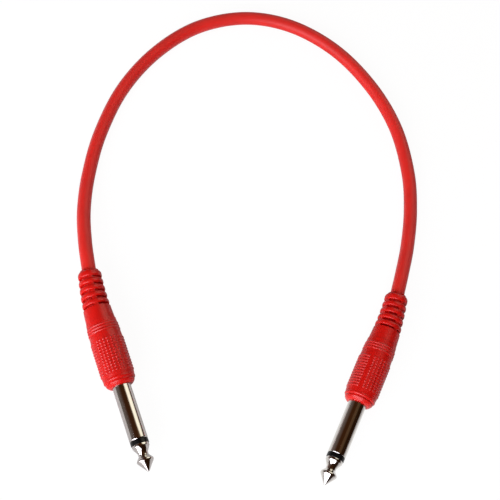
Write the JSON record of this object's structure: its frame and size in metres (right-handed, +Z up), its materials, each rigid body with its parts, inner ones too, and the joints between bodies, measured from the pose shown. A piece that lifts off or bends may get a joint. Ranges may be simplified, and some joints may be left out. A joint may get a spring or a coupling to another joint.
{
  "type": "audio patch cable",
  "caption": "Short red audio patch cable: a screened lead with a moulded mono jack plug on each end, each with a dotted grip and a slotted strain relief.",
  "frame": {"origin": "on the surface the lead lies on, in the middle of the box round the two plugs", "axes": "+Z up, +X from the left plug to the right plug, +Y from the plugs towards the cable's loop"},
  "size_m": [0.1258, 0.1865, 0.0118],
  "materials": {
    "red_pvc": "satin soft PVC",
    "red_jacket": "satin soft PVC",
    "nickel": "bright nickel plate",
    "black_plastic": "semi-gloss",
    "tinned_steel": "tinned",
    "brass": "bare stamping",
    "solder": "dull solder",
    "ivory_plastic": "matt polyethylene",
    "copper": "bare copper strands",
    "white_plastic": "polyethylene insulation"
  },
  "bodies": {
    "root": {"left_tip": "nickel", "left_tip_insulator": "black_plastic", "left_sleeve": "nickel", "left_ground_lug": "tinned_steel", "left_rear_insulator": "black_plastic", "left_tip_lug": "brass", "left_tip_solder": "solder", "left_inner_mould": "ivory_plastic", "left_overmould": "red_pvc", "right_tip": "nickel", "right_tip_insulator": "black_plastic", "right_sleeve": "nickel", "right_ground_lug": "tinned_steel", "right_rear_insulator": "black_plastic", "right_tip_lug": "brass", "right_tip_solder": "solder", "right_inner_mould": "ivory_plastic", "right_overmould": "red_pvc", "cable_jacket": "red_jacket", "cable_screen": "copper", "cable_dielectric": "white_plastic", "cable_conductor": "copper"}
  },
  "joints": []
}
